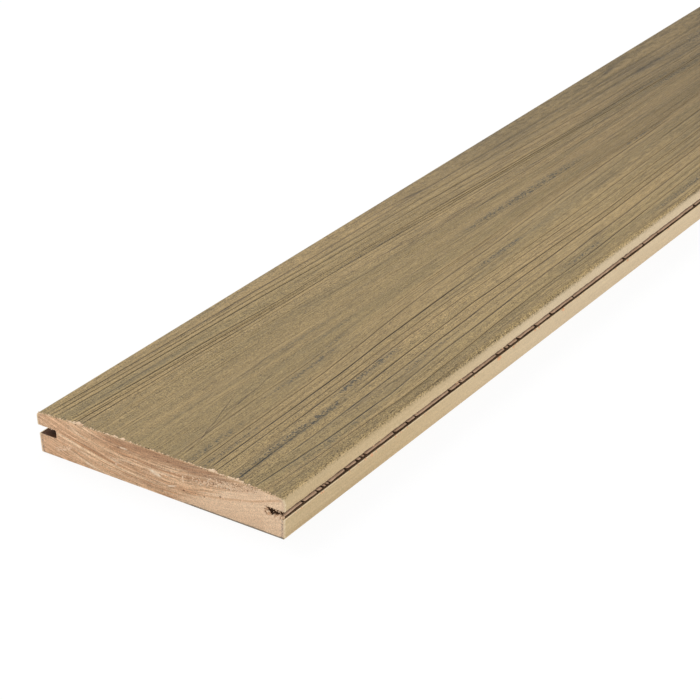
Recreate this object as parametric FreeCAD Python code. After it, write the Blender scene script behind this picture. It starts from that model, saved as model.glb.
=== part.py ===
"""Grooved wood-plastic composite deck board, one extruded piece.

The board is a solid bar with a crowned walking face, rounded top arrises, sides that draw in
towards a flat underside, and a clip groove sawn along each side. The lip below each groove stands
back from the lip above it. Both ends are square saw cuts.

Row frame, in millimetres: +X along the board, +Y across it, +Z up out of the walking face. The
origin is the middle of the underside.
"""

import math
import os

import FreeCAD
import Part

# Stock
board_length = 2440.0  # 8 ft stock length
board_width = 140.0  # across the widest level, at the arris centres
board_thickness = 21.7  # on the centre line, crown included
crown_drop = 1.2  # fall of the walking face from the centre line to the -Y arris
side_draft = 0.8  # how far each side draws in over the whole thickness

# Edges: the top arris is tighter along the +Y side
top_arris_radius_pos_y = 2.0
top_arris_radius_neg_y = 3.5
bottom_arris_radius = 0.5

# Clip groove, one along each side
lower_lip_height = 9.7  # from the underside to the groove's floor
lower_lip_setback = 0.45  # how far the lower lip's side stands behind the upper lip's
groove_height = 4.2
groove_depth = 11.1  # from the widest level of the side to the groove's back
groove_root_radius = 0.6

half_length = board_length / 2
half_width = board_width / 2
draft_angle = math.atan(side_draft / board_thickness)


def crown_radius():
    """Radius of the crown arc that peaks on the centre line and runs tangent into the -Y arris."""
    radius = top_arris_radius_neg_y
    reach = half_width - radius
    return (reach**2 + crown_drop**2 + 2 * radius * crown_drop) / (2 * crown_drop)


def turned(centre, radius, angle):
    """The point at this angle, from outwards towards up, on a circle of the half section."""
    return (centre[0] + radius * math.cos(angle), centre[1] + radius * math.sin(angle))


class HalfSection:
    """One half of the section, from the crown's middle to the underside's middle.

    Its points are (outwards, up). The side is +1 for the +Y half and -1 for the -Y half.
    """

    def __init__(self, side, arris_radius):
        self.side = side
        crown = crown_radius()
        crown_centre = (0, board_thickness - crown)
        reach = half_width - arris_radius
        rise = math.sqrt((crown - arris_radius) ** 2 - reach**2)
        arris_centre = (reach, crown_centre[1] + rise)
        crown_end = math.atan2(rise, reach)
        side_top = turned(arris_centre, arris_radius, -draft_angle)

        def side_at(height):
            return side_top[0] - (side_top[1] - height) * math.tan(draft_angle)

        roof = lower_lip_height + groove_height
        back = half_width - groove_depth
        root = groove_root_radius
        foot = bottom_arris_radius
        foot_outer = side_at(0) - lower_lip_setback
        foot_reach = foot_outer - foot * (1 - math.sin(draft_angle)) / math.cos(draft_angle)
        foot_centre = (foot_reach, foot)
        foot_top = turned(foot_centre, foot, -draft_angle)
        lip_corner = (side_at(roof), roof)
        lower_lip_corner = (side_at(lower_lip_height) - lower_lip_setback, lower_lip_height)
        quarter = math.pi / 2

        self.edges = [
            self.arc(crown_centre, crown, quarter, crown_end),
            self.arc(arris_centre, arris_radius, crown_end, -draft_angle),
            self.line(side_top, lip_corner),
            self.line(lip_corner, (back + root, roof)),
            self.arc((back + root, roof - root), root, quarter, 2 * quarter),
            self.line((back, roof - root), (back, lower_lip_height + root)),
            self.arc((back + root, lower_lip_height + root), root, 2 * quarter, 3 * quarter),
            self.line((back + root, lower_lip_height), lower_lip_corner),
            self.line(lower_lip_corner, foot_top),
            self.arc(foot_centre, foot, -draft_angle, -quarter),
            self.line((foot_reach, 0), (0, 0)),
        ]

    def point(self, place):
        """A point of the section, which stands on the near end of the board."""
        return FreeCAD.Vector(-half_length, self.side * place[0], place[1])

    def line(self, start, end):
        return Part.LineSegment(self.point(start), self.point(end)).toShape()

    def arc(self, centre, radius, start, end):
        on_arc = [turned(centre, radius, angle) for angle in (start, (start + end) / 2, end)]
        return Part.Arc(*[self.point(place) for place in on_arc]).toShape()


def deck_board():
    pos_y = HalfSection(1, top_arris_radius_pos_y)
    neg_y = HalfSection(-1, top_arris_radius_neg_y)
    outline = Part.Wire(Part.__sortEdges__(pos_y.edges + neg_y.edges))
    bar = Part.Face(outline).extrude(FreeCAD.Vector(board_length, 0, 0))
    return bar.removeSplitter()


os.makedirs("parts", exist_ok=True)
board = deck_board()
board.exportStep("parts/deck_board.step")
box = board.BoundBox
print("deck_board valid", board.isValid(), "volume mm3", round(board.Volume, 1))
print("size", round(box.XLength, 2), round(box.YLength, 2), round(box.ZLength, 2))
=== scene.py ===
from math import atan, atan2, ceil, cos, degrees, exp, pi, radians, sin, sqrt, tan

import bmesh
import bpy
import numpy as np
from mathutils import Matrix, Vector, geometry


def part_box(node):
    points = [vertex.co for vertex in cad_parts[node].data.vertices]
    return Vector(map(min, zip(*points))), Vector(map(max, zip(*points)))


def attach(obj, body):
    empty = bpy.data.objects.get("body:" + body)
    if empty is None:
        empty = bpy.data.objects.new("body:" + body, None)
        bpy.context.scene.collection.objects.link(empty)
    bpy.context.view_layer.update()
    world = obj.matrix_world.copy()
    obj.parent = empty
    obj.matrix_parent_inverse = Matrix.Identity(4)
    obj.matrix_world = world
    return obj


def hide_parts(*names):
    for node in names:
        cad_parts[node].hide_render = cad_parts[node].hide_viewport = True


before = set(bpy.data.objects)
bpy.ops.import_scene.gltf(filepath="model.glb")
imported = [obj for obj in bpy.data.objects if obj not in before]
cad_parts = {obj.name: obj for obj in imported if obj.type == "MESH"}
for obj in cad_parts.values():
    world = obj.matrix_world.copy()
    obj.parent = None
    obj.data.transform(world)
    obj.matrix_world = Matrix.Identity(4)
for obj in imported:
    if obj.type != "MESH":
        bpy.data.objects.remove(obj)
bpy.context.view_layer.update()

# A grooved composite deck board: one skin with embossed grain and sawn ends, and torn core along its
# edges. Lengths are in millimetres up to the meshes. s is the distance from the near cut end.
MM = 0.001
low, high = (np.array(corner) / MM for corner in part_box("deck_board"))
LENGTH = high[0] - low[0]
HALF_LENGTH = LENGTH / 2
HALF_WIDTH = (high[1] - low[1]) / 2
CAD_TOP = high[2]

# Section, as in the solid. +Y's side is 1 and -Y's side is -1
THICKNESS = 21.7
CROWN_DROP = 1.2
SIDE_DRAFT = 0.8
ARRIS = {1: 2.0, -1: 3.5}  # radius of the top arris along each side
BOTTOM_ARRIS = 0.5
LIP_HEIGHT = 9.7
LIP_SETBACK = 0.45
GROOVE_HEIGHT = 4.2
GROOVE_DEPTH = 11.1
GROOVE_ROOT = 0.6
LIP_BEVEL = 0.1

DRAFT = atan(SIDE_DRAFT / THICKNESS)
ROOF = LIP_HEIGHT + GROOVE_HEIGHT
BACK = HALF_WIDTH - GROOVE_DEPTH
CROWN_REACH = HALF_WIDTH - ARRIS[-1]
CROWN_RADIUS = (CROWN_REACH**2 + CROWN_DROP**2 + 2 * ARRIS[-1] * CROWN_DROP) / (2 * CROWN_DROP)

# Burr bead along the lower lip's edge: its height, and how far in its foot and crest are
BEAD_RISE = {1: 0.02, -1: 0.27}
BEAD_FOOT = 0.55
BEAD_CREST = (0.36, 0.12)

# Relief: how far below the true crown the walking face starts, and how deep each part of it is
CREST = THICKNESS - CAD_TOP + 0.01
GRAIN_DEPTH = 0.36
SWELL_DEPTH = 0.09
RIPPLE_DEPTH = 0.07
SHOULDER_RISE = 0.05
SAW_DEPTH = 0.22  # relief of the sawn ends

# The camera of the photograph, found from the board's long edges and cut end
VIEW_AZIMUTH = radians(-54.386)
VIEW_ELEVATION = radians(27.735)
VIEW_ROLL = radians(-1.557)
VIEW_DISTANCE = 941.6
VIEW_OFFSET = (-84.34, -63.39)  # of the near end's bottom middle from the view's axis
VIEW_FOCAL = 2135.34 / 700  # focal length over the picture's width

# How far across the board the grain runs, at these distances from the near end
GUIDE_STATIONS = (0, 50, 100, 150, 200, 265, 330, 450, 600)
GUIDES = (
    (66.5,) * 9,
    (64.8, 63, 61.5, 60.3, 59, 58, 57.2, 55.4, 53.4),
    (58.8, 57, 55, 53, 50.6, 47.6, 45, 38.8, 34.2),
    (51, 48.5, 46, 43.6, 41.5, 38.9, 35.8, 31.2, 27.2),
    (43, 41.5, 39.8, 38.4, 37.2, 34.6, 31.6, 27.2, 23.4),
    (33, 32.6, 31.4, 28.4, 25, 21.8, 20.2, 19, 16.6),
    (12, 11.6, 11, 10.2, 9.4, 7.6, 6, 4.6, 3.6),
    (-20.5, -20, -18.9, -15.4, -13, -11.6, -9, -8, -6),
    (-28.5, -27.5, -26.5, -24.6, -23.3, -23, -22.4, -18.4, -14.4),
    (-31.5, -30.9, -29.6, -28.5, -28.2, -28.9, -28.2, -25.2, -21.6),
    (-36, -35.2, -33.7, -32, -31.5, -32.2, -32.8, -31.2, -28.2),
    (-43.3, -42.9, -42.5, -40.9, -39.2, -39.8, -41, -38.6, -35.4),
    (-48.8, -49.1, -48.1, -46.6, -44.9, -44.5, -44.4, -41.6, -38.6),
    (-53.5, -56, -56.6, -54.2, -53, -52, -51, -48.6, -45.8),
    (-58.5, -60.6, -62.3, -61.1, -59.6, -58.8, -57.8, -55, -52.4),
    (-66.5,) * 9,
)
# Strong grain lines: place across at the near end, width, depth, and where each starts and ends
STRONG_LINES = (
    (64.8, 1, 0.8, 0, 640), (61.8, 1, 0.8, 0, 700), (58.9, 1, 0.9, 0, 700),
    (55.8, 0.8, 0.4, 60, 600), (51.1, 1.1, 0.95, 0, 520), (47.5, 1.1, 0.9, 0, 160),
    (44.3, 1.2, 0.95, 0, 640), (41.5, 0.9, 0.5, 30, 420), (33.8, 0.9, 0.5, 0, 190),
    (25.6, 0.8, 0.4, 0, 320), (23.6, 0.8, 0.3, 0, 120), (15.4, 0.8, 0.3, 0, 250),
    (5.5, 0.8, 0.3, 0, 40), (-9, 0.9, 0.5, 0, 140), (-11.8, 0.8, 0.45, 0, 34),
    (-14, 0.8, 0.4, 34, 90), (-21.4, 1, 0.75, 0, 480), (-25, 0.8, 0.45, 0, 90),
    (-28.5, 1.1, 1, 0, 230), (-32.2, 1, 0.75, 0, 640), (-36.7, 1, 0.72, 40, 620),
    (-38.2, 0.8, 0.5, 0, 40), (-43.5, 1.2, 1, 0, 52), (-43.5, 1.1, 0.8, 92, 620),
    (-49, 1, 0.72, 30, 640), (-53.6, 1.1, 0.78, 0, 600), (-59.5, 1, 0.75, 0, 560),
    (-64.6, 0.8, 0.25, 140, 400),
)
# Grey smears in the grain: along from and to, place across, half width, strength
SMEARS = (
    (-10, 30, -43, 1.4, 1), (10, 90, -42.4, 2, 1), (80, 140, -38.8, 2, 0.85),
    (-20, 10, 45, 1.6, 0.8), (175, 270, 45, 1.3, 0.95), (225, 280, -27, 1.2, 0.9),
    (110, 170, -50.5, 1.2, 0.6), (250, 400, 13, 6, 0.6), (280, 400, 10.5, 2.6, 0.6),
    (85, 165, 11, 2, 0.45), (118, 158, 1, 1.6, 0.5), (60, 135, -12.5, 1.8, 0.6),
    (90, 150, -8, 1.8, 0.5), (-10, 48, -17.5, 3, 0.5), (-10, 50, -25.5, 1.8, 0.6),
    (10, 100, -55.6, 1.6, 0.6), (250, 300, -58, 1.3, 0.9), (15, 60, -58.5, 2, 0.5),
    (395, 470, -18, 2.6, 0.6), (330, 470, -64, 2.2, 0.7), (420, 560, 50, 2.6, 0.55),
    (480, 640, 40, 2.4, 0.6),
)
# Lines that cross the grain near the end: from and to, as distance along and place across
STRAYS = (((6, -11.9), (46, -5.6)), ((46, -5.6), (86, -0.4)), ((18, -10.6), (58, 1.6)))

# Flow lines of the sawn ends: height at the middle, half width, place across, colour, share
FLOW_BANDS = (
    (5.1, 0.75, -14, (240, 210, 174), 0.75),
    (3.9, 0.5, 0, (170, 122, 86), 0.6),
    (2.3, 0.6, 12, (240, 208, 172), 0.7),
    (1.1, 0.5, 16, (176, 124, 88), 0.6),
    (8.2, 0.6, 26, (234, 200, 164), 0.55),
)
# Ovals on the sawn ends: place across, height, half width, half height, slope
PALE_TEARS = (
    (1.3, 10.2, 4.2, 1.1, 0.22), (-14.4, 12.4, 0.5, 2.2, 1.2), (19, 17.2, 2.2, 0.45, 0),
    (-8, 6.6, 3.2, 0.5, -0.3),
)
LIME_STAIN = ((55.5, 5.6, 6.5, 1.5, -0.35),)
LIME_SPOTS = ((41.2, 2.4, 1.2, 0.6, 0), (24, 7.6, 0.8, 0.5, 0))
HOLES = ((-14.5, 6.5, 0.7, 0.5, 0), (-26, 7, 0.6, 0.45, 0), (-35, 10, 0.7, 0.45, 0), (22, 16.8, 0.6, 0.4, 0))

# Notches torn out of the fringe in the -Y groove: distance from the near end and width
NOTCHES = (
    (11.3, 1.6), (21.5, 1.9), (25.6, 1.5), (28.2, 1.3), (30.4, 1.2), (43.2, 2.8), (51.8, 2.6), (55.2, 2),
    (58, 2.8), (81.3, 2.2), (91.6, 1.6), (98.5, 0.9), (127.2, 2.4), (136.6, 1.4), (148, 0.8), (169.6, 2.4),
    (177.2, 2.2), (180.6, 1.4), (189.2, 2.6), (205.6, 3), (220.8, 2.6), (243, 1), (296.4, 3.2), (317.8, 1.5),
    (334, 1), (377, 3.4),
)
NOTCHES_KNOWN_TO = 395.0
# Burrs over the -Y groove's lower rim and under its upper lip: distance from the near end and size
RIM_BURRS = (
    (13, 0.5), (27.6, 0.9), (29.2, 0.8), (48.8, 0.6), (61.2, 0.8), (66, 1.5), (69.6, 0.8), (75, 0.6),
    (85, 0.7), (89.6, 0.6), (108.8, 0.5), (152.2, 0.7), (174.6, 2), (175.8, 1.4), (188, 1), (209, 0.8),
    (212.4, 1), (236.4, 1.7), (290.8, 0.8), (304, 1.2), (350.4, 1),
)
LIP_BURRS = ((66.2, 0.7), (72, 0.5), (100.8, 0.6), (136, 1.6), (139.4, 1), (176, 0.8))
# Pale flecks torn up on the near end: place across, height, length, width, slope in degrees
END_FLECKS = (
    (-14.5, 12.5, 3.8, 0.6, 103), (-13.4, 14.3, 1.2, 0.5, 100), (19.2, 17.3, 1.4, 0.4, 8),
    (16.8, 17.5, 0.9, 0.4, -20), (-39, 12.4, 1, 0.5, 30), (-40.6, 12.9, 0.9, 0.5, 60),
    (33.5, 4.6, 1.4, 0.6, 20),
)
BURR_CLUSTERS = (46, 21, -31, -45)  # places across where the saw left more and larger burrs
# Section of the fringe: how far outwards, and what share of the way down
FRINGE_RING = ((0, -0.12), (0.05, 0.35), (0, 0.8), (-0.05, 1), (-0.3, 0.95), (-0.4, 0.4), (-0.5, -0.12))


def torn_level(y):
    """The height of the torn patch's middle on the near end."""
    return 16.4 - 0.17 * (y + 36)


# Seeded smooth noise
LATTICE = 257  # lattice points each way before the noise repeats


def rolling(along, across, along_period, across_period, seed):
    """Smooth seeded noise, about -1 to 1, from random heights on a lattice."""
    a = np.asarray(along, float) / along_period + 100
    b = np.asarray(across, float) / across_period + 100
    a, b = np.broadcast_arrays(a, b)
    i, j = np.floor(a).astype(int), np.floor(b).astype(int)
    height = np.random.default_rng(seed).uniform(-1, 1, (LATTICE, LATTICE))
    u, w = ease(a - i), ease(b - j)

    def at(di, dj):
        return height[(i + di) % LATTICE, (j + dj) % LATTICE]

    return (at(0, 0) * (1 - u) + at(1, 0) * u) * (1 - w) + (at(0, 1) * (1 - u) + at(1, 1) * u) * w


def ease(t):
    """0 to 1 with level ends, held outside."""
    t = np.clip(t, 0, 1)
    return t * t * (3 - 2 * t)


# The section's outline
def arc(centre_y, centre_z, radius, from_deg, to_deg, steps):
    turn = np.radians(np.linspace(from_deg, to_deg, steps + 1))
    return list(zip(centre_y + radius * np.cos(turn), centre_z + radius * np.sin(turn)))


def run(start, end, steps):
    """Points from start up to, but not including, end."""
    return [tuple(np.array(start) + (np.array(end) - np.array(start)) * k / steps) for k in range(steps)]


def crown(y):
    return THICKNESS - CROWN_RADIUS + np.sqrt(CROWN_RADIUS**2 - np.asarray(y) ** 2)


def arris(side):
    """Centre, radius and upper end in degrees of a side's arris."""
    radius = ARRIS[side]
    reach = HALF_WIDTH - radius
    rise = sqrt((CROWN_RADIUS - radius) ** 2 - reach**2)
    return reach, THICKNESS - CROWN_RADIUS + rise, radius, degrees(atan2(rise, reach))


def crown_edge(side):
    reach, _, radius, end = arris(side)
    return reach + radius * cos(radians(end))


def side_at(side, z):
    """How far out the upper lip's side is at a height."""
    reach, rise, radius, _ = arris(side)
    top = (reach + radius * cos(DRAFT), rise - radius * sin(DRAFT))
    return top[0] - (top[1] - z) * tan(DRAFT)


CAP, GROOVE, SAWN = range(3)


def side_outline(side):
    """A side from the crown to the underside, the material after each point, and its foot."""
    reach, rise, radius, end = arris(side)
    slope = degrees(DRAFT)
    lean = BOTTOM_ARRIS * (1 - sin(DRAFT)) / cos(DRAFT)
    foot = side_at(side, 0) - LIP_SETBACK - lean

    def upper(z, inwards=0.0):
        return (side_at(side, z) - inwards, z)

    def lower(z, inwards=0.0):
        return upper(z, LIP_SETBACK + inwards)

    arris_foot = rise - radius * sin(DRAFT)
    root = BACK + GROOVE_ROOT
    rim = LIP_HEIGHT + BEAD_RISE[side]
    stretches = (
        (CAP, arc(reach, rise, radius, end, -slope, round(3 + 1.6 * radius))[:-1]),
        (CAP, run(upper(arris_foot), upper(ROOF + LIP_BEVEL), 2)),
        (CAP, run(upper(ROOF + LIP_BEVEL), upper(ROOF, LIP_BEVEL), 1)),
        (GROOVE, run(upper(ROOF, LIP_BEVEL), (root, ROOF), 3)),
        (GROOVE, arc(root, ROOF - GROOVE_ROOT, GROOVE_ROOT, 90, 180, 2)),
        (GROOVE, arc(root, LIP_HEIGHT + GROOVE_ROOT, GROOVE_ROOT, 180, 270, 2)[:-1]),
        (GROOVE, run((root, LIP_HEIGHT), lower(LIP_HEIGHT, BEAD_FOOT), 3)),
        (CAP, [lower(LIP_HEIGHT, BEAD_FOOT)] + [lower(rim, inwards) for inwards in BEAD_CREST]),
        (CAP, run(lower(LIP_HEIGHT - LIP_BEVEL), lower(BOTTOM_ARRIS), 4)),
        (CAP, arc(foot, BOTTOM_ARRIS, BOTTOM_ARRIS, -slope, -90, 3)[:-1]),
    )
    points = [p for material, stretch in stretches for p in stretch]
    materials = [material for material, stretch in stretches for p in stretch]
    return np.array(points), materials, foot


# Grain
def guide_paths(s):
    """Each guide's place across along s; past the stations they wander."""
    stations, table = np.array(GUIDE_STATIONS, float), np.array(GUIDES, float)
    homes = np.linspace(table[0, 0], table[-1, 0], len(table))
    away = ease((s - stations[-1]) / 420)
    paths = [np.interp(s, stations, guide) for guide in table]
    for k in range(1, len(table) - 1):
        near = paths[k] + 0.25 * rolling(s, k, 37, 1, 5)
        home = homes[k] + 2.6 * rolling(s, 0, 310, 1, 40 + k) + 7 * rolling(s, k, 700, 6, 77)
        paths[k] = near * (1 - away) + home * away
    return np.sort(np.array(paths), axis=0)[::-1]


def grain_lines():
    """The strong lines, and seeded faint ones in the gaps, in order across."""
    chance = np.random.default_rng(11)
    lines = [(*line, False) for line in STRONG_LINES]
    place = -65.2
    while place < 65.4:
        if all(abs(place - line[0]) > 1.15 for line in STRONG_LINES):
            width = chance.uniform(0.7, 1.0)
            sparse_middle = 1 - 0.55 * exp(-((place - 6) / 15) ** 2)
            lines.append((place, width, chance.uniform(0.18, 0.42) * sparse_middle, 0, LENGTH, True))
        place += chance.uniform(1.9, 4.2)
    return sorted(lines)


def line_strength(s, line, number):
    """How strong a grain line is along the board, 0 to 1."""
    _, _, depth, start, end, faint = line

    def wave(period, seed):
        return 0.5 + 0.5 * rolling(s, number, period, 1, seed)

    swell = wave(62, 21)
    near = depth * ease((wave(95, 24) - 0.30) / 0.35) * (0.6 + 0.4 * swell)
    far = 0.75 * ease((wave(210, 23) - 0.36) / 0.3) * (0.55 + 0.45 * swell)
    late = ease((s - 520) / 240)
    if faint:
        return np.clip(near * (1 - late) + far * late * (depth * 2), 0, 1)
    window = ease((s - start + 12) / 24) * ease((end - s) / 90 + 0.5)
    own = depth * window * (0.62 + 0.30 * swell + 0.16 * (wave(13, 22) - 0.5))
    return np.clip(own + (near * (1 - late) + far * late * 0.9) * ease((s - end) / 160), 0, 1)


def columns_across(lines):
    """The mesh's columns: three a line, and more where a gap is wide."""
    places = {crown_edge(1), -crown_edge(-1)}
    for place, width, *_ in lines:
        places.update(place + k * width for k in (-0.5, 0.0, 0.5))
    ordered = sorted(places)
    kept = [ordered[0]]
    for p in ordered[1:]:
        if p - kept[-1] > 0.28:
            kept.append(p)
    filled = [kept[0]]
    for p in kept[1:]:
        gaps = max(1, ceil((p - filled[-1]) / 1.7))
        start = filled[-1]
        filled += [start + (p - start) * k / gaps for k in range(1, gaps + 1)]
    return np.array(filled)


def rows_along():
    """Rows of the mesh, closer at the cut ends and where the photograph shows it."""
    rows = [0.0, 0.35, 0.9, 1.8, 3.4]
    ending = [LENGTH - r for r in rows]
    while rows[-1] < LENGTH:
        rows.append(rows[-1] + (4.0 if rows[-1] < 640 else 12.2))
    return np.array([r for r in rows if r < ending[-1] - 2] + ending[::-1])


def smear_field(s, v):
    """The named smears, and seeded ones further on."""
    total = np.zeros(np.broadcast(s, v).shape)
    for start, end, place, half, strength in SMEARS:
        middle, reach = (start + end) / 2, (end - start) / 2
        along = ease(1.35 - np.abs(s - middle) / reach)
        total = np.maximum(total, strength * along * np.exp(-(((v - place) / half) ** 2)))
    cloud = rolling(s, v, 75, 3.1, 31) * 0.6 + rolling(s, v, 190, 6.5, 32) * 0.6
    wild = ease((cloud - 0.22) / 0.5) * (0.35 + 0.65 * ease((s - 480) / 260))
    return np.maximum(total, 0.8 * wild)


def grain_grooves(s, v, lines):
    """How strong the embossed lines and their raised shoulders are."""
    groove, shoulder = np.zeros((2, len(s), len(v)))
    for number, line in enumerate(lines):
        place, width = line[:2]
        off = v - place
        strength = line_strength(s, line, number)[:, None]
        core = (np.abs(off) < 0.26 * width) | (np.abs(off) == np.abs(off).min())
        groove[:, core] = np.maximum(groove[:, core], strength)
        for way, share in ((1, 1.0), (-1, 0.45)):
            out = way * off - 0.4 * width
            beside = (out > 0) & (out < 1.2)
            shoulder[:, beside] = np.maximum(shoulder[:, beside], share * strength)
    return groove, shoulder * (groove == 0)


def add_object(name, data):
    holder = bpy.data.objects.new(name, data)
    bpy.context.collection.objects.link(holder)
    return holder


# The skin
def walking_face(s):
    """The walking face's columns, its points' y and z, and its grain values."""
    lines = grain_lines()
    v = columns_across(lines)
    paths = guide_paths(s)
    places = np.array([guide[0] for guide in GUIDES])
    places[0], places[-1] = v[-1], v[0]
    paths[0], paths[-1] = v[-1], v[0]
    y = np.array([np.interp(v, places[::-1], paths[::-1, row]) for row in range(len(s))])
    along, across = s[:, None], v[None]
    inner = np.where(y > 0, ease((v[-1] - y) / 1.2), ease((y - v[0]) / 3.2))
    groove, shoulder = grain_grooves(s, v, lines)
    swell = 0.5 + 0.5 * rolling(along, across, 130, 4.2, 51)
    ripple = 0.5 + 0.5 * rolling(along, across, 34, 1.6, 52)
    relief = GRAIN_DEPTH * groove + SWELL_DEPTH * swell + RIPPLE_DEPTH * ripple - SHOULDER_RISE * shoulder
    waves = 0.34 * rolling(along, across, 47, 5.5, 53) + 0.10 * rolling(along, across, 17, 3.0, 54)
    y = y + waves * inner
    z = crown(y) - CREST - np.maximum(relief, 0) * inner
    z[:, 0], z[:, -1] = crown(v[0]), crown(v[-1])
    fields = {"groove": groove, "shoulder": shoulder, "smear": smear_field(along, across)}
    return v, y, z, {name: field * inner for name, field in fields.items()}


def board_grid():
    """The skin's loop points in rows, the material after each, its capped sides, and its grain."""
    s = rows_along()
    v, y, z, values = walking_face(s)
    right, right_materials, right_foot = side_outline(1)
    left, left_materials, left_foot = side_outline(-1)
    left, left_materials = left[::-1] * (-1, 1), left_materials[::-1]
    bottom = np.array(run((right_foot, 0), (-left_foot, 0), 10) + [(-left_foot, 0)])
    rest = np.concatenate([right[1:], bottom, left[:-1]])
    points = np.zeros((len(s), len(v) + len(rest), 3))
    points[:, :, 0] = s[:, None] - HALF_LENGTH
    points[:, : len(v), 1], points[:, : len(v), 2] = y, z
    points[:, len(v) :, 1:] = rest
    top, under = len(v) - 1, len(bottom) - 1
    around = [CAP] * top + right_materials + [CAP] * under + left_materials
    side_skin = [False] * top + [m == CAP for m in right_materials]
    side_skin += [False] * under + [m == CAP for m in left_materials]
    plain = np.zeros((len(s), len(rest)))
    grain = {"across": np.concatenate([np.tile(v, (len(s), 1)), plain + rest[:, 0]], 1)}
    grain |= {name: np.concatenate([field, plain], 1) for name, field in values.items()}
    return points, np.array(around), np.array(side_skin), grain


def outline_distance(points, outline, counted=slice(None)):
    """Each point's distance from the outline, or from its counted edges."""
    best = np.full(len(points), 99.0)
    for a, b in zip(outline[counted], np.roll(outline, -1, axis=0)[counted]):
        ab = b - a
        t = np.clip(((points - a) @ ab) / max(ab @ ab, 1e-12), 0, 1)
        best = np.minimum(best, np.linalg.norm(points - a - t[:, None] * ab, axis=1))
    return best


def end_points(outline, pitch, seed):
    """A jittered grid inside the outline, clear of its edge."""
    chance = np.random.default_rng(seed)
    ys = np.arange(-HALF_WIDTH, HALF_WIDTH, pitch)
    zs = np.arange(0, THICKNESS, pitch * 0.9)
    gy, gz = np.meshgrid(ys, zs)
    points = np.stack([gy.ravel(), gz.ravel()], 1) + chance.uniform(-0.28, 0.28, (gy.size, 2)) * pitch
    inside = np.zeros(len(points), bool)
    for a, b in zip(outline, np.roll(outline, -1, axis=0)):
        crosses = (a[1] > points[:, 1]) != (b[1] > points[:, 1])
        height = np.where(crosses, b[1] - a[1], 1)
        inside ^= crosses & (points[:, 0] < a[0] + (points[:, 1] - a[1]) * (b[0] - a[0]) / height)
    clear = outline_distance(points, outline) > pitch * 0.55
    return points[inside & clear]


def saw_marks(spots, outline, seed):
    y, z = spots.T
    flow = z - (y - 9) ** 2 / (2 * 185)
    edge = outline_distance(spots, outline)
    rough = 0.5 + 0.3 * rolling(flow, y, 0.9, 9, seed) + 0.2 * rolling(y, z, 1.2, 1.1, seed + 5)
    return SAW_DEPTH * rough * np.clip(edge / 1.2, 0, 1)


def sawn_end(outline, out, pitch, seed):
    """The spots inside a sawn end's outline, and its triangles, outline points counted first."""
    loop = len(outline)
    flat = np.concatenate([outline, end_points(outline, pitch, seed)])
    rim = [(k, (k + 1) % loop) for k in range(loop)]
    found, _, triangles, origins, _, _ = geometry.delaunay_2d_cdt([Vector(p) for p in flat], rim, [], 1, 1e-5)
    number, spots = [], []
    for place, origin in zip(found, origins):
        if origin and origin[0] < loop:
            number.append(origin[0])
        else:
            number.append(loop + len(spots))
            spots.append(place)
    faces = []
    for t in triangles:
        (ay, az), (by, bz), (cy, cz) = (found[k] for k in t)
        turning = (by - ay) * (cz - az) - (bz - az) * (cy - ay)
        faces.append([number[k] for k in (t if turning * out > 0 else t[::-1])])
    return np.array(spots), faces


def build_board():
    grid, around, side_skin, grain = board_grid()
    rows, loop = grid.shape[:2]
    index = np.arange(rows * loop).reshape(rows, loop)
    a, b = index[:-1], index[1:]
    quads = np.stack([a, b, np.roll(b, -1, 1), np.roll(a, -1, 1)], -1).reshape(-1, 4)
    points = list(grid.reshape(-1, 3))
    faces = quads.tolist()
    materials = list(np.tile(around, rows - 1))
    values = {name: list(field.ravel()) for name, field in grain.items()}
    values["skin"] = [0.0] * len(points)
    for row, out, pitch, seed in ((0, -1, 0.62, 61), (rows - 1, 1, 0.85, 62)):
        outline = grid[row, :, 1:]
        spots, triangles = sawn_end(outline, out, pitch, seed)
        numbers = np.concatenate([index[row], len(points) + np.arange(len(spots))])
        faces += [numbers[t].tolist() for t in triangles]
        materials += [SAWN] * len(triangles)
        x = out * (HALF_LENGTH - saw_marks(spots, outline, seed))
        points += list(np.column_stack([x, spots]))
        fresh = {"across": spots[:, 0], "skin": outline_distance(spots, outline, side_skin)}
        for name in values:
            values[name] += list(fresh.get(name, np.zeros(len(spots))))
    mesh = bpy.data.meshes.new("board")
    mesh.from_pydata([tuple(np.array(p) * MM) for p in points], [], faces)
    mesh.polygons.foreach_set("material_index", np.array(materials, np.int32))
    for name, numbers in values.items():
        mesh.attributes.new(name, "FLOAT", "POINT").data.foreach_set("value", np.array(numbers, np.float32))
    mesh.polygons.foreach_set("use_smooth", [True] * len(mesh.polygons))
    mesh.update()
    mesh.set_sharp_from_angle(angle=radians(38))
    mesh.validate()
    return add_object("board", mesh)


# Shader arithmetic
def arithmetic(operation):
    return lambda field, other: field.math(operation, other)


class Field:
    """A number or colour over the surface. Arithmetic on it adds nodes."""

    def __init__(self, tree, socket):
        self.tree, self.socket = tree, socket

    def math(self, operation, *others):
        node = self.tree.nodes.new("ShaderNodeMath")
        node.operation = operation
        for slot, value in enumerate((self, *others)):
            feed(node.inputs[slot], value)
        return Field(self.tree, node.outputs[0])

    __add__ = __radd__ = arithmetic("ADD")
    __sub__ = arithmetic("SUBTRACT")
    __mul__ = __rmul__ = arithmetic("MULTIPLY")
    __truediv__ = arithmetic("DIVIDE")

    def __rsub__(self, other):
        return self.math("MULTIPLY_ADD", -1, other)

    def __abs__(self):
        return self.math("ABSOLUTE")

    def ramp(self, start, end):
        """0 at start and 1 at end, with level ends."""
        node = self.tree.nodes.new("ShaderNodeMapRange")
        node.interpolation_type = "SMOOTHSTEP"
        feed(node.inputs[0], self)
        feed(node.inputs[1], start)
        feed(node.inputs[2], end)
        return Field(self.tree, node.outputs[0])


def feed(socket, value):
    if isinstance(value, Field):
        value.tree.links.new(value.socket, socket)
    else:
        socket.default_value = value


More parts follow.
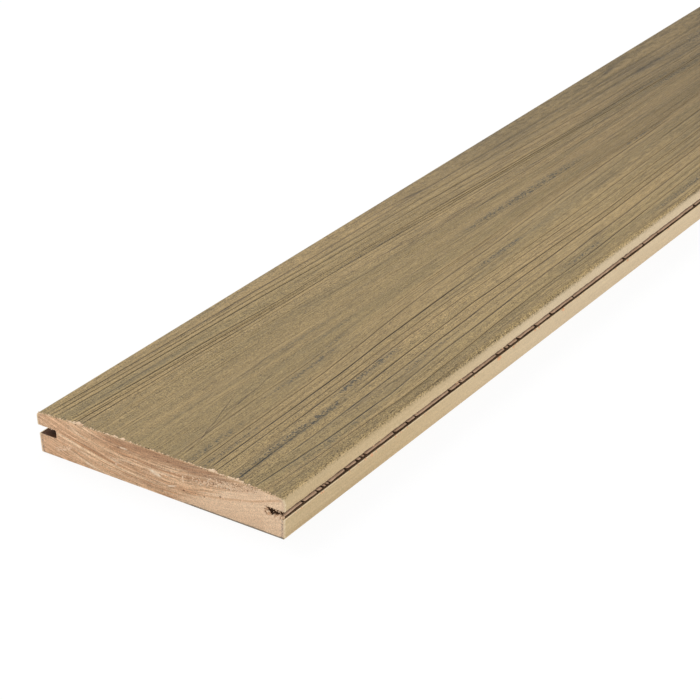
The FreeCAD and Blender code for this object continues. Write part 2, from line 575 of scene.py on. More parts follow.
def noise(x, y, x_size, y_size, seed, detail=2):
    """Smooth noise about -1 to 1, with features of the sizes given."""
    tree = x.tree
    place = tree.nodes.new("ShaderNodeCombineXYZ")
    feed(place.inputs[0], x / x_size)
    feed(place.inputs[1], y / y_size)
    place.inputs[2].default_value = seed * 7.31
    cloud = tree.nodes.new("ShaderNodeTexNoise")
    cloud.inputs["Scale"].default_value = 1
    cloud.inputs["Detail"].default_value = detail
    tree.links.new(place.outputs[0], cloud.inputs["Vector"])
    return (Field(tree, cloud.outputs[0]) - 0.5) * 2.6


def ridge(field, width):
    """1 along the lines where the field is zero, and 0 beyond this width."""
    return abs(field).ramp(width, 0)


def linear(rgb):
    """An sRGB colour, each part 0 to 255, as the shader takes it."""
    return tuple((c / 255 / 12.92 if c < 11 else ((c / 255 + 0.055) / 1.055) ** 2.4) for c in rgb) + (1,)


def mix(first, second, amount):
    """From the first colour to the second by amount. Colours are fields or sRGB."""
    tree = amount.tree
    node = tree.nodes.new("ShaderNodeMix")
    node.data_type = "RGBA"
    feed(node.inputs[0], amount)
    for slot, colour in ((6, first), (7, second)):
        feed(node.inputs[slot], colour if isinstance(colour, Field) else linear(colour))
    return Field(tree, node.outputs[2])


class Paint:
    """A colour built up in coats."""

    def __init__(self, first, second, amount):
        self.colour = mix(first, second, amount)

    def coat(self, colour, amount):
        self.colour = mix(self.colour, colour, amount)

    def shade(self, factor):
        node = factor.tree.nodes.new("ShaderNodeVectorMath")
        node.operation = "SCALE"
        feed(node.inputs[0], self.colour)
        feed(node.inputs["Scale"], factor)
        self.colour = Field(factor.tree, node.outputs[0])


def new_material(name, roughness):
    """A material, and the fields s, y and z in millimetres."""
    material = bpy.data.materials.new(name)
    material.use_nodes = True
    tree = material.node_tree
    shader = tree.nodes["Principled BSDF"]
    shader.inputs["Roughness"].default_value = roughness
    shader.inputs["Specular IOR Level"].default_value = 0.3
    split = tree.nodes.new("ShaderNodeSeparateXYZ")
    tree.links.new(tree.nodes.new("ShaderNodeTexCoord").outputs["Object"], split.inputs[0])
    x, y, z = (Field(tree, out) * (1 / MM) for out in split.outputs)
    return material, x + HALF_LENGTH, y, z


def value(material, name):
    node = material.node_tree.nodes.new("ShaderNodeAttribute")
    node.attribute_name = name
    return Field(material.node_tree, node.outputs["Fac"])


def finished(material, colour, height, roughness=None):
    """The material with its colour, height in millimetres and roughness."""
    tree = material.node_tree
    shader = tree.nodes["Principled BSDF"]
    feed(shader.inputs["Base Color"], colour)
    bump = tree.nodes.new("ShaderNodeBump")
    bump.inputs["Strength"].default_value = 1
    bump.inputs["Distance"].default_value = MM
    feed(bump.inputs["Height"], height)
    tree.links.new(bump.outputs[0], shader.inputs["Normal"])
    if roughness is not None:
        feed(shader.inputs["Roughness"], roughness)
    return material


# The cap: embossed and streaked on the walking face, smooth and paler on the sides
def walking_streaks(s, v, around, grain, dust):
    """Streaks and broad tones, then fibres and sandy grain."""
    threads, fibres, speckle = grain
    bands = noise(s, v, 420, 13, 1)
    swaths = noise(s, v, 240, 7, 27)
    streaks = noise(s, v, 150, 2.8, 2, 3)
    paint = Paint((148, 128, 88), (166, 141, 98), bands.ramp(-0.7, 0.8))
    paint.coat((124, 111, 84), swaths.ramp(0.1, 1) * (0.35 + 0.4 * s.ramp(120, 420)))
    paint.coat((184, 154, 108), swaths.ramp(-0.1, -1) * 0.55)
    paint.coat((160, 135, 94), noise(s, v, 520, 26, 7).ramp(0, 0.9) * 0.6)
    paint.coat((128, 114, 84), streaks.ramp(0.1, 1) * 0.8)
    paint.coat((184, 158, 112), streaks.ramp(-0.2, -1) * 0.75)
    outwards = abs(v - 2).ramp(16, 42)
    sand = noise(0.8 * s - 0.6 * around, 0.8 * around + 0.6 * s, 0.42, 0.42, 57, 0)
    dots = speckle * (0.5 + 0.2 * outwards) + sand * (0.35 + 0.25 * outwards)
    fibrous = threads * 0.2 + fibres * (0.32 + 0.15 * outwards)
    paint.shade(1 + fibrous + dots * (1 - 0.5 * s.ramp(110, 360)) + dust * 0.03)
    return paint


def draw_hairs(paint, s, v, fibres):
    """Thin dark and pale lines between the embossed ones. Returns how dark they are."""
    drift = noise(s, v, 170, 3.4, 14)
    here = noise(s, v, 70, 3.5, 15).ramp(-0.3, 0.5)
    hairs = ridge(noise(s, v, 60, 2, 16), 0.14) * noise(s, v, 40, 2.5, 17).ramp(-0.1, 0.6)
    pale_hairs = ridge(noise(s, v, 120, 2.3, 59), 0.09) * noise(s, v, 90, 6, 61).ramp(-0.4, 0.5)
    dark_hairs = ridge(noise(s, v, 140, 2.6, 60), 0.09) * noise(s, v, 90, 6, 62).ramp(-0.4, 0.5)
    dark = (ridge(drift, 0.11) * here * 0.75 + hairs * 0.5) * (0.8 + 0.5 * fibres)
    share = 0.25 + 0.3 * s.ramp(60, 300)
    paint.coat((92, 78, 57), dark.ramp(0, 1))
    paint.coat((192, 163, 114), ridge(drift - 0.24, 0.13) * here * (0.45 + 0.4 * fibres))
    paint.coat((196, 169, 120), pale_hairs * share)
    paint.coat((92, 82, 62), dark_hairs * share)
    return dark


def draw_smears(paint, s, around, smear, grain):
    threads, fibres, speckle = grain
    clumps = noise(0.6 * s + 0.8 * around, 0.7 * (0.6 * around - 0.8 * s), 0.95, 0.95, 63, 1)
    dots = (0.7 * clumps + 0.7 * speckle + 0.4 * fibres).ramp(-0.15, 0.35)
    dark = smear * (0.32 + 1.6 * dots) * (0.85 + 0.4 * threads)
    paint.coat((84, 83, 73), dark.ramp(0, 1.15) * 0.92)
    paint.coat((52, 55, 55), dark.ramp(0.5, 1.1) * 0.65)


def draw_embossed_lines(paint, s, y, groove, shoulder, grain):
    """Dark grooves, their own tint with painted shade, cooler near the -Y corner, and pale shoulders as
    painted highlights.
    """
    threads, fibres, speckle = grain
    faded = 1 - 0.4 * y.ramp(30, 50) * s.ramp(110, 260)
    # Painted highlight along the raised shoulders beside the grooves
    paint.coat((196, 168, 119), shoulder * faded * (0.5 + 0.3 * threads))
    # The grooves' own dark tint, with painted shade in them
    groove_tint_and_shade = mix((64, 54, 41), (46, 50, 52), s.ramp(170, 40) * y.ramp(-18, -26))
    strength = groove.ramp(0.05, 0.68) * (1 - 0.5 * s.ramp(200, 460)) * faded
    paint.coat(groove_tint_and_shade, strength * (0.95 + 0.6 * fibres + 0.35 * speckle))


def draw_strays(paint, s, y, v, fibres):
    """Lines across the grain near the end, dark gaps in the sawn edge (torn cap with painted shade between
    the burrs), and pale flecks.
    """
    # Dark gaps along the sawn edge: torn cap, with painted shade between the burrs
    edge_gap_and_shade = s.ramp(1.3, 0.5) * noise(y, s, 1.7, 30, 26).ramp(0.25, 0.6)
    paint.coat((92, 66, 46), edge_gap_and_shade * 0.9)
    for (s0, y0), (s1, y1) in STRAYS:
        off = y - y0 - (s - s0) * ((y1 - y0) / (s1 - s0)) + noise(s, y, 11, 40, 28) * 0.7
        there = s.ramp(s0 - 4, s0 + 4) * s.ramp(s1 + 4, s1 - 4) * (0.7 + 0.9 * fibres)
        paint.coat((84, 69, 50), (ridge(off, 0.62) * there * 0.85).ramp(0, 1))
        paint.coat((194, 165, 120), ridge(off - 0.7, 0.5) * there * 0.2)
    flecks = noise(s, v, 5, 0.9, 18, 1).ramp(0.75, 1.05) * noise(s, v, 55, 7, 19).ramp(0.1, 0.7)
    paint.coat((205, 176, 130), flecks * 0.75)


def far_shade_and_patches(paint, s, y, v):
    """Painted shade that deepens further from the near end, broad darker patches further on, and a few
    lighter areas.
    """
    slanted = s + 1.5 * y
    # Painted shade further from the near end, where less light falls
    darker = 0.38 * slanted.ramp(225, 640) * slanted.ramp(1700, 820)
    darker += 0.24 * noise(s, v, 640, 44, 56).ramp(-0.3, 0.7) * slanted.ramp(900, 1500)
    paint.shade(1 - darker)
    lighter = 0.06 * y.ramp(-18, -32) * y.ramp(-62, -48) * s.ramp(90, 180) * s.ramp(430, 300)
    lighter += 0.032 * y.ramp(24, 12) * y.ramp(-16, -6)
    lighter += 0.045 * y.ramp(-42, -48) * y.ramp(-66, -60) * s.ramp(330, 200)
    lighter += 0.03 * y.ramp(48, 54) * s.ramp(120, 60)
    lighter += 0.06 * s.ramp(400, 480) * s.ramp(800, 640) * y.ramp(5, 15) * y.ramp(42, 32)
    paint.shade(1 + lighter)


def smooth_side(s, y, z, speckle):
    """The sides: pale, with a ragged painted shadow at the groove's roof, painted light on the lower lip, and
    a paler rim that is partly burr and partly painted highlight.
    """
    paint = Paint((216, 191, 149), (207, 181, 138), noise(s, z, 90, 2.2, 8, 3).ramp(-0.6, 0.7))
    grain = noise(s, z, 16, 0.8, 9) * 0.05 + noise(s, z + y, 2.4, 1.6, 10) * 0.05
    grain += noise(s, z + y, 0.8, 0.7, 25, 1) * 0.17 + noise(s, z, 55, 0.9, 55) * 0.06
    paint.coat((222, 204, 176), s.ramp(70, 230) * 0.45)
    # Lighter further along. Towards the lower lip this is painted light, lifting the lip that gets less light
    # than the upper one
    paint.shade(1 + grain + s.ramp(20, 210) * (0.07 + 0.07 * z.ramp(13, 9)))
    # Painted shadow: a ragged dark band just under the groove's roof
    ragged = z + noise(s, z, 3, 9, 24, 3) * 0.4
    paint.coat((104, 78, 58), z.ramp(ROOF - 0.4, ROOF) * ragged.ramp(ROOF + 0.36, ROOF + 0.16))
    # The pale burr bead on the lower lip's rim, with a painted highlight on it
    paint.coat((244, 219, 178), z.ramp(9.3, 9.6) * z.ramp(11, 10.5))
    paint.coat((252, 232, 198), s.ramp(1.1, 0.5) * (0.6 + 0.9 * speckle).ramp(0, 1) * 0.75)
    paint.coat((176, 154, 118), z.ramp(0.4, 0.05) * 0.6)
    return paint.colour


def cap_material():
    material, s, y, z = new_material("cap", 0.72)
    v, groove, shoulder, smear = (value(material, name) for name in ("across", "groove", "shoulder", "smear"))
    pos_y = y.ramp(-1, 1)
    around = y + (THICKNESS - z) * (2 * pos_y - 1)
    threads = noise(s, v, 60, 1.1, 3, 3)
    fibres = noise(s, v, 6, 0.5, 4, 1)
    speckle = noise(0.8 * s + 0.6 * around, 0.8 * around - 0.6 * s, 0.66, 0.66, 5, 1)
    dust = noise(s, y, 3.4, 2.2, 6)
    grain = threads, fibres, speckle
    walking = walking_streaks(s, v, around, grain, dust)
    hairs = draw_hairs(walking, s, v, fibres)
    draw_smears(walking, s, around, smear, grain)
    draw_embossed_lines(walking, s, y, groove, shoulder, grain)
    draw_strays(walking, s, y, v, fibres)
    # Over the edge, from the walking face down the side: painted light on the -Y arris, which the lamp
    # reaches less, then smooth
    over = abs(y) - z
    # Painted light: the -Y arris made lighter
    arris_painted_light = (over - noise(s, y, 40, 40, 29) * 0.3).ramp(46.2, 49) * (1 - pos_y)
    walking.shade(1 + arris_painted_light * (0.32 + 1.1 * speckle))
    far_shade_and_patches(walking, s, y, v)
    coarse = noise(0.7 * s - 0.7 * over, 0.7 * s + 0.7 * over, 0.8, 0.8, 11, 1) + speckle * 0.8
    frayed = over + coarse + noise(s, over, 26, 30, 12) * 0.3 - pos_y * 2.4 - 1.3 * s.ramp(60, 200)
    embossed = frayed.ramp(50.3, 47.5) * z.ramp(9, 12)
    height = threads * 0.06 + fibres * 0.16 + speckle * 0.14 + dust * 0.08 - (groove * 0.12 + hairs * 0.16)
    height = embossed * height + noise(s, z, 2.5, 1.6, 13) * 0.02
    colour = mix(smooth_side(s, y, z, speckle), walking.colour, embossed)
    return finished(material, colour, height, 0.66 + 0.08 * speckle)


def groove_material():
    """Brown core with fine cutter marks, and painted shade in the +Y groove."""
    material, s, y, _ = new_material("milled_core", 0.85)
    marks = noise(s + 0.6 * y, y, 0.5, 5, 21, 1)
    paint = Paint((128, 100, 76), (164, 134, 106), noise(s, y, 14, 3, 22, 3).ramp(-0.7, 0.8))
    # Painted shade: the +Y groove darker and warmer, as it gets less light
    paint.coat((98, 64, 40), y.ramp(-1, 1))
    paint.shade(1 + marks * 0.5)
    return finished(material, paint.colour, marks * 0.15)


# The sawn core: flow lines of the extruded mix, torn flecks and pits, and the cap's line around it
def flow_lines(y, z, bent, threads, wisps, smooth_right):
    bands = noise(y, bent, 60, 2, 32, 3)
    paint = Paint((188, 144, 108), (222, 187, 151), bands.ramp(-0.7, 0.6))
    paint.coat((240, 214, 182), ridge(noise(y, bent, 70, 3.2, 38), 0.11) * 0.6)
    paint.coat((160, 114, 80), ridge(noise(y, bent, 60, 2.6, 39), 0.13) * 0.5)
    for level, width, place, rgb, share in FLOW_BANDS:
        band = ridge(bent - level, width) * y.ramp(place - 12, place + 8) * y.ramp(66, 56)
        paint.coat(rgb, band * share * (0.75 + 0.5 * wisps))
    middle = abs((y + 3) / 46).ramp(1.05, 0.55)
    dark = (z + noise(y, z, 16, 2, 40) * 1.6).ramp(14.5, 18.5) * middle
    paint.coat((166, 126, 95), dark * (0.75 + 0.35 * bands))
    paint.coat((236, 205, 172), (smooth_right * 0.75).math("MAXIMUM", y.ramp(-50, -60) * 0.85))
    paint.coat((196, 148, 108), ridge(bent - 5.5, 0.9) * y.ramp(8, -10) * (0.5 + 0.3 * wisps))
    paint.coat((212, 172, 138), y.ramp(38, 62) * (0.35 + 0.4 * threads))
    return paint


def tear(paint, y, z, speckle, grit):
    """Torn flecks, most in the patch under the walking face. Returns where they are."""
    torn = abs((y + 36) / 24).ramp(1, 0.7) * abs((z - torn_level(y)) / 3).ramp(1, 0.5)
    torn = torn.math("MAXIMUM", noise(y, z, 10, 3.5, 41).ramp(0.35, 0.8) * 0.7)
    paint.coat((116, 80, 58), torn * (speckle + 0.4 * grit).ramp(0.1, 0.6) * 0.85)
    paint.coat((246, 224, 196), torn * (0.7 * grit - 0.6 * speckle).ramp(0.1, 0.6) * 0.85)
    return torn


def inside(ovals, y, z):
    """1 inside any of the ovals and 0 outside."""
    found = None
    for place, height, half_width, half_height, slope in ovals:
        off = (y - place) / half_width
        up = (z - height - slope * (y - place)) / half_height
        oval = (off * off + up * up).ramp(1, 0.25)
        found = found.math("MAXIMUM", oval) if found else oval
    return found


def draw_spots(paint, y, z, speckle, grit):
    """Pale tears, lime stains, and holes and pits darkened with painted shade. Returns where the pits are."""
    paint.coat((246, 226, 200), inside(PALE_TEARS, y, z) * (0.75 + 0.7 * speckle))
    stain = inside(LIME_STAIN, y, z) * (0.3 + 1.2 * speckle + 0.6 * grit).ramp(0, 1)
    paint.coat((240, 214, 188), stain.math("MAXIMUM", inside(LIME_SPOTS, y, z)) * 0.75)
    # Holes and pits painted dark: painted shade in them
    paint.coat((96, 64, 44), inside(HOLES, y, z) * 0.9)
    pits = noise(y, z, 0.9, 0.7, 35, 1).ramp(0.75, 1) * noise(y, z, 9, 4, 36).ramp(0, 0.6)
    paint.coat((100, 70, 50), pits * 0.85)
    return pits


def draw_rim(paint, y, z, skin, speckle, grit):
    """The cap's line around the core, dark gaps with painted shade along its top edge, and painted light
    towards +Y.
    """
    ragged = skin + grit * 0.18 + speckle * 0.08
    violet = ragged.ramp(0.55, 0.9) * ragged.ramp(2.1, 1.3) * (0.55 + 1.5 * speckle + 0.4 * grit).ramp(0, 1)
    paint.coat((142, 126, 118), violet * (0.4 + 0.5 * z.ramp(12, 9)))
    paint.coat((222, 198, 164), ragged.ramp(0.75, 0.5) * 0.85)
    under = (z + grit * 0.2).ramp(0.85, 0.55) * (y + 4 * grit).ramp(-8, -20)
    paint.coat((126, 118, 106), under * 0.85)
    top = (z + y * y * (0.5 / CROWN_RADIUS) + grit * 0.25).ramp(THICKNESS - 0.8, THICKNESS - 0.5)
    paint.coat((222, 184, 142), top * (0.45 + 0.8 * speckle))
    # Dark gaps between the burrs along the top edge: torn cap, with painted shade behind the burrs
    paint.coat((112, 76, 52), top * noise(y, z, 1.5, 9, 44).ramp(0.25, 0.6) * 0.8)
    # Painted light: the end face lighter towards +Y
    paint.shade(1 + 0.07 * y.ramp(20, 50))


def sawn_material():
    material, _, y, z = new_material("sawn_core", 0.85)
    bent = z - (y - 4) * (y - 4) / 385 + noise(y, z, 34, 8, 31) * 0.75
    threads = noise(y, bent, 26, 0.62, 33)
    wisps = noise(y, bent, 2.8, 0.5, 45, 1)
    speckle = noise(0.8 * y + 0.6 * z, 0.8 * z - 0.6 * y, 0.64, 0.64, 34, 1)
    grit = noise(0.6 * y + 0.8 * z, 0.6 * z - 0.8 * y, 1.7, 1.3, 37)
    sand = noise(0.8 * z - 0.6 * y, 0.8 * y + 0.6 * z, 0.42, 0.42, 58, 0)
    smooth_right = (y + 2.2 * (z - 6)).ramp(-14, -28)
    paint = flow_lines(y, z, bent, threads, wisps, smooth_right)
    torn = tear(paint, y, z, speckle, grit)
    # Fine fibres along the flow and sandy grain, calmer where the cut is smooth
    calm = 1 - 0.75 * smooth_right
    fibrous = threads * 0.25 + noise(y, bent, 7, 0.5, 43, 1) * 0.36 + wisps * 0.24
    sandy = speckle * (0.2 + 0.12 * calm) + sand * (0.22 + 0.14 * calm) + grit * 0.05
    paint.shade(1 + calm * fibrous + sandy)
    pits = draw_spots(paint, y, z, speckle, grit)
    draw_rim(paint, y, z, value(material, "skin"), speckle, grit)
    height = threads * 0.08 + speckle * (0.06 + 0.2 * torn) + grit * 0.08 - pits * 0.4
    return finished(material, paint.colour, height)


def torn_material(name, pale, deep, roof_shade=False):
    """Torn core in two tones, with painted shade where it joins a groove's roof."""
    material, s, y, z = new_material(name, 0.85)
    grain = noise(s, z, 3, 0.5, 51)
    paint = Paint(pale, deep, noise(s, z + y, 5, 2, 52).ramp(-0.6, 0.8))
    paint.shade(1 + grain * 0.1 + noise(s, y + z, 0.6, 0.5, 53) * 0.06)
    if roof_shade:
        # Painted shade: darker towards the groove's roof, in the gap under the cap's edge
        height = z + noise(s, z, 2.4, 9, 54) * 0.3
        paint.coat((150, 120, 94), height.ramp(ROOF - 1.75, ROOF - 1.3) * 0.8)
        paint.coat((84, 58, 42), height.ramp(ROOF - 1, ROOF - 0.6))
    return finished(material, paint.colour, grain * 0.08)


# Torn core
def add_piece(name, points, faces, material):
    """A piece that rides with the board, from points in millimetres."""
    mesh = bpy.data.meshes.new(name)
    mesh.from_pydata([tuple(p) for p in np.array(points) * MM], [], faces)
    mesh.polygons.foreach_set("use_smooth", [True] * len(faces))
    mesh.update()
    mesh.set_sharp_from_angle(angle=radians(40))
    mesh.materials.append(material)
    piece = add_object(name, mesh)
    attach(piece, "root")


def fringe_edge(side, s):
    """How far the fringe hangs and how far inwards it stands, with its notches."""
    chance = np.random.default_rng(71 + side)
    drop = 2.35 + 0.16 * rolling(s, 0, 9, 1, 72 + side) + 0.1 * rolling(s, 0, 1.9, 1, 73)
    inwards = 0.62 + 0.1 * rolling(s, 0, 6, 1, 74 + side)
    notches = list(NOTCHES) if side < 0 else []
    place = NOTCHES_KNOWN_TO if side < 0 else 3
    while place < LENGTH - 8:
        notches.append((place, chance.uniform(1, 4.5)))
        place += chance.exponential(26) + 3
    for place, width in notches:
        depth = chance.uniform(0.75, 1)
        reach = np.abs(s - place) / (0.38 * width + 0.12)
        drop = drop * (1 - depth * ease(1.25 - 1.5 * reach))
        inwards = inwards + 0.5 * ease(1.4 - 1.1 * reach) * chance.uniform(0.3, 1)
    return drop, inwards


def fringe(side, fine_to, sparse):
    """Ragged edge of torn core that hangs from a groove's roof, just inside its mouth."""
    margin = 0.02
    s = np.concatenate([np.arange(margin, fine_to, 0.55), np.arange(fine_to, LENGTH - margin, 2.6)])
    drop, inwards = fringe_edge(side, s)
    if sparse:
        drop = drop * ease((rolling(s, 0, 17, 1, 75) + 0.25) / 0.5) * 0.7
    drop = np.maximum(drop, 0.06)
    outer = side_at(side, ROOF) - inwards
    ring = []
    for out, down in FRINGE_RING:
        z = ROOF - drop * down if down > 0 else ROOF - down + 0 * drop
        slant = np.clip(s + 1.25 * (ROOF - z) * ease(s / 4), margin, LENGTH - margin)
        ring.append(np.stack([slant - HALF_LENGTH, side * (outer + out), z], 1))
    points = np.stack(ring, 1)
    rows, loop = points.shape[:2]
    index = np.arange(rows * loop).reshape(rows, loop)
    faces = []
    for k in range(loop):
        a, b, c, d = index[:-1, k], index[1:, k], index[1:, (k + 1) % loop], index[:-1, (k + 1) % loop]
        faces += np.stack((a, b, c, d) if side < 0 else (d, c, b, a), 1).tolist()
    first, last = index[0].tolist(), index[-1].tolist()
    faces += [first, last[::-1]] if side < 0 else [first[::-1], last]
    return points.reshape(-1, 3), faces


def ball_shape():
    ball = bmesh.new()
    bmesh.ops.create_icosphere(ball, subdivisions=2, radius=1)
    points = np.array([v.co for v in ball.verts])
    faces = [[v.index for v in f.verts] for f in ball.faces]
    ball.free()
    return points, faces


class Crumbs:
    """Torn bits gathered into one mesh, each a rough lump."""

    def __init__(self, seed, far_end=False):
        self.chance = np.random.default_rng(seed)
        self.far_end = far_end
        self.shape = ball_shape()
        self.points, self.faces = [], []

    def add(self, place, size, turn=None):
        """A lump about (s, y, z), sized along, across and up, and turned about x in degrees."""
        ball, faces = self.shape
        rough = 1 + self.chance.normal(0, 0.16, (len(ball), 1))
        pinch = self.chance.uniform(0.5, 1, 3)
        bit = ball * rough * np.array(size) / 2 * np.where(ball > 0, pinch, 1)
        angle = self.chance.uniform(0, 2 * pi) if turn is None else radians(turn)
        c, d = cos(angle), sin(angle)
        bit = np.stack([bit[:, 0], c * bit[:, 1] - d * bit[:, 2], d * bit[:, 1] + c * bit[:, 2]], 1)
        bit = bit + np.array(place)
        shaved = 0.0025 * (len(self.points) % 19)  # flats at their own levels, so that none lie in one plane
        bit[:, 0] = np.maximum(bit[:, 0], shaved)
        bit[:, 0] = HALF_LENGTH - bit[:, 0] if self.far_end else bit[:, 0] - HALF_LENGTH
        bit[:, 1] = np.clip(bit[:, 1], -HALF_WIDTH, HALF_WIDTH)
        bit[:, 2] = np.clip(bit[:, 2], 0.02, CAD_TOP - shaved)
        start = sum(len(p) for p in self.points)
        order = -1 if self.far_end else 1
        self.faces += [tuple(start + k for k in face)[::order] for face in faces]
        self.points.append(bit)

    def finish(self, name, material):
        add_piece(name, np.concatenate(self.points), self.faces, material)


def saw_edge_burrs(crumbs):
    """Slivers the saw left along the walking face's edge."""
    between = crumbs.chance.uniform
    y = -65
    while y < 69:
        crowd = min(sum(exp(-(((y - c) / 4) ** 2)) for c in BURR_CLUSTERS), 1)
        size = between(0.32, 0.9) * (1 + 2.2 * crowd * between(0, 1) ** 1.5)
        z = float(crown(y)) - CREST + between(-0.1, 0.45) * size
        crumbs.add((size * 0.3, y, z), (size * 1.5, size * between(0.7, 1.6), size * 0.7), 0)
        y += between(0.25, 1.5) / (1 + 1.2 * crowd)


def clog_height(y):
    """How high the crumbs in the -Y groove reach."""
    hollow = 2.1 * exp(-(((y + 62.9) / 2.1) ** 2))
    rise = 0.8 * float(rolling(y, 0, 1.3, 1, 82)) + 2.2 * float(ease((y + 60.6) / 1.4))
    return 1.9 + rise - hollow - float(ease((-66.8 - y) / 1.5))


def clog_groove(crumbs):
    """Crumbs packed into the -Y groove's mouth and hanging from its roof."""
    chance = crumbs.chance
    between = chance.uniform
    for y in np.arange(-68.2, -58.6, 0.5):
        for z in np.arange(0.2, clog_height(y), 0.5):
            place = (0.8 + between(0, 0.5), y + chance.normal(0, 0.12), LIP_HEIGHT + z)
            crumbs.add(place, between(0.8, 1.3, 3))
    for _ in range(190):
        y = -between(58.4, 68.4)
        size = between(0.3, 0.95)
        z = LIP_HEIGHT + (clog_height(y) + 0.25) * between(0, 1) ** 0.6
        crumbs.add((between(0.1, 0.9), y, z), size * between(0.6, 1.3, 3))
    for _ in range(70):
        size = between(0.35, 0.8)
        if between() < 0.7:
            spot = (-between(58.9, 67.6), LIP_HEIGHT + chance.normal(-0.05, 0.2))
        else:
            spot = (-58.8 + chance.normal(0, 0.25), LIP_HEIGHT + between(0, GROOVE_HEIGHT))
        crumbs.add((0.1, *spot), (0.34, size * 1.3, size))
    for _ in range(26):
        y = -between(59.5, 68)
        size = between(0.35, 0.75)
        place = (between(0.3, 1.4), y, ROOF - 2.6 * between(0.05, 1) ** 1.6)
        crumbs.add(place, (size, size * 0.8, size * 1.2))


def tear_end(crumbs):
    """Pale flecks, the torn patch, and crumbs below the -Y groove."""
    chance = crumbs.chance
    between = chance.uniform
    for y, z, length, width, slope in END_FLECKS:
        crumbs.add((0.05, y, z), (0.34, length, width), slope)
    for _ in range(26):
        along = between(0, 1)
        place = (0.06, 6.5 - 10 * along + chance.normal(0, 0.5), 9 + 2.2 * along + chance.normal(0, 0.45))
        size = (0.3, between(0.4, 1.5), between(0.25, 0.5))
        crumbs.add(place, size, 190 + chance.normal(0, 14))
    for _ in range(230):
        y = chance.normal(-38, 10)
        z = torn_level(y) + chance.normal(0, 1.3)
        if z < float(crown(y)) - 0.6:
            size = between(0.25, 0.8)
            crumbs.add((0.1, y, z), (0.3, size * between(0.8, 1.8), size), between(-20, 30))
    for _ in range(80):
        place = (0.08, between(-65, -50), between(3, 9.6))
        size = between(0.15, 0.42)
        crumbs.add(place, (0.26, size * 1.2, size))


def near_end_crumbs(material):
    crumbs = Crumbs(81)
    between = crumbs.chance.uniform
    saw_edge_burrs(crumbs)
    clog_groove(crumbs)
    tear_end(crumbs)
    # Crumbs along the roof of the +Y groove
    for _ in range(26):
        y = between(59.6, 68.6)
        size = between(0.3, 0.8)
        place = (between(0.2, 1.2), y, ROOF - between(0, 0.25))
        crumbs.add(place, (size, size * 1.3, size * 0.8))
    crumbs.finish("crumbs_near_end", material)


def far_end_crumbs(material):
    crumbs = Crumbs(83, far_end=True)
    chance = crumbs.chance
    between = chance.uniform
    saw_edge_burrs(crumbs)
    # Crumbs on the floors of both grooves
    for _ in range(70):
        y = chance.choice((-1, 1)) * between(59.2, 68.2)
        size = between(0.3, 0.9)
        place = (between(0.2, 1.8), y, LIP_HEIGHT + 0.2 * size)
        crumbs.add(place, size * between(0.6, 1.3, 3))
    crumbs.finish("crumbs_far_end", material)


def mouth_burrs(material):
    """Burrs over the lower lip's rim and under the upper lip, -Y side."""
    crumbs = Crumbs(85)
    between = crumbs.chance.uniform
    extra = [(place, between(0.25, 0.6)) for place in between(2, 2430, 260)]
    rim = side_at(-1, LIP_HEIGHT) - LIP_SETBACK + 0.02
    for place, size in [*RIM_BURRS, *extra]:
        grown = size * 1.2
        sizes = (grown * 1.3, 0.36 + 0.1 * grown, grown)
        crumbs.add((place - 0.6, -rim, LIP_HEIGHT - grown * 0.2), sizes, between(-15, 15))
    lip = side_at(-1, ROOF) - 0.1
    for place, size in LIP_BURRS:
        crumbs.add((place, -lip, ROOF - 0.05), (size * 2.2, 0.35, 0.45), 0)
    crumbs.finish("burrs_groove_neg_y", material)


board = build_board()
for make in (cap_material, groove_material, sawn_material):
    board.data.materials.append(make())
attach(board, "root")
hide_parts("deck_board")
torn = torn_material("torn_core", (242, 214, 182), (222, 182, 146))
hanging = torn_material("groove_fringe", (206, 172, 142), (178, 144, 114), roof_shade=True)
add_piece("groove_fringe_neg_y", *fringe(-1, 400, False), hanging)
add_piece("groove_fringe_pos_y", *fringe(1, 60, True), hanging)
near_end_crumbs(torn)
far_end_crumbs(torn)
mouth_burrs(torn_material("torn_rim", (255, 208, 164), (234, 170, 122)))


# Floor, light and camera
def seen_directly(tree):
    """1 where the background is seen, and 0 where it lights."""
    path = tree.nodes.new("ShaderNodeLightPath")
    camera, glossy, clear = (
        Field(tree, path.outputs[f"Is {kind} Ray"]) for kind in ("Camera", "Glossy", "Transmission")
    )
    return camera.math("MAXIMUM", glossy).math("MAXIMUM", clear)


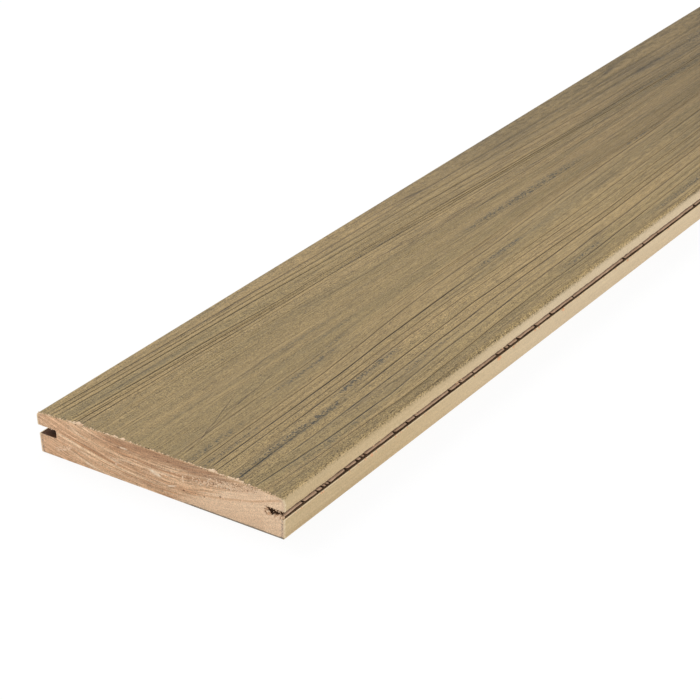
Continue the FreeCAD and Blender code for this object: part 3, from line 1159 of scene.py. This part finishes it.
def white_floor():
    mesh = bpy.data.meshes.new("floor")
    size = 9
    mesh.from_pydata([(-size, -size, 0), (size, -size, 0), (size, size, 0), (-size, size, 0)], [], [range(4)])
    floor = add_object("floor", mesh)
    material = bpy.data.materials.new("white_floor")
    material.use_nodes = True
    tree = material.node_tree
    tree.nodes.remove(tree.nodes["Principled BSDF"])
    seen = seen_directly(tree)
    diffuse = tree.nodes.new("ShaderNodeBsdfDiffuse")
    diffuse.inputs[0].default_value = (0.86, 0.86, 0.86, 1)
    glow = tree.nodes.new("ShaderNodeEmission")
    feed(glow.inputs["Strength"], 0.26 + 0.64 * seen)
    both = tree.nodes.new("ShaderNodeAddShader")
    blend = tree.nodes.new("ShaderNodeMixShader")
    feed(blend.inputs[0], seen * 0.86)
    tree.links.new(diffuse.outputs[0], both.inputs[0])
    tree.links.new(glow.outputs[0], both.inputs[1])
    tree.links.new(both.outputs[0], blend.inputs[1])
    tree.links.new(glow.outputs[0], blend.inputs[2])
    tree.links.new(blend.outputs[0], tree.nodes["Material Output"].inputs["Surface"])
    mesh.materials.append(material)


def white_world(strength):
    world = bpy.data.worlds.new("studio")
    bpy.context.scene.world = world
    world.use_nodes = True
    tree = world.node_tree
    background = tree.nodes["Background"]
    background.inputs[0].default_value = (1, 1, 1, 1)
    feed(background.inputs[1], seen_directly(tree) * (1 - strength) + strength)


def towards(azimuth, elevation):
    """The direction at an azimuth, from -Y towards +X, and elevation."""
    level = cos(elevation)
    return Vector((sin(azimuth) * level, -cos(azimuth) * level, sin(elevation)))


def lamp(name, strength, azimuth, elevation, spread):
    """A soft distant lamp, with its angles in degrees."""
    light = bpy.data.lights.new(name, "SUN")
    light.energy = strength
    light.angle = radians(spread)
    holder = add_object(name, light)
    source = towards(radians(azimuth), radians(elevation))
    holder.rotation_euler = source.to_track_quat("Z", "Y").to_euler()


def photo_camera():
    camera = bpy.data.cameras.new("camera")
    camera.sensor_width = 36
    camera.lens = VIEW_FOCAL * camera.sensor_width
    camera.clip_start, camera.clip_end = 0.05, 30
    back = towards(VIEW_AZIMUTH, VIEW_ELEVATION)
    level = (-back).cross(Vector((0, 0, 1))).normalized()
    upright = level.cross(-back)
    right = level * cos(VIEW_ROLL) + upright * sin(VIEW_ROLL)
    up = upright * cos(VIEW_ROLL) - level * sin(VIEW_ROLL)
    place = Vector((-HALF_LENGTH, 0, 0)) - right * VIEW_OFFSET[0] - up * VIEW_OFFSET[1] + back * VIEW_DISTANCE
    holder = add_object("camera", camera)
    holder.matrix_world = Matrix.Translation(place * MM) @ Matrix((right, up, back)).transposed().to_4x4()
    bpy.context.scene.camera = holder


white_floor()
white_world(0.72)
lamp("key", 1.1, 160, 42, 28)
photo_camera()
bpy.context.scene.view_settings.view_transform = "Standard"
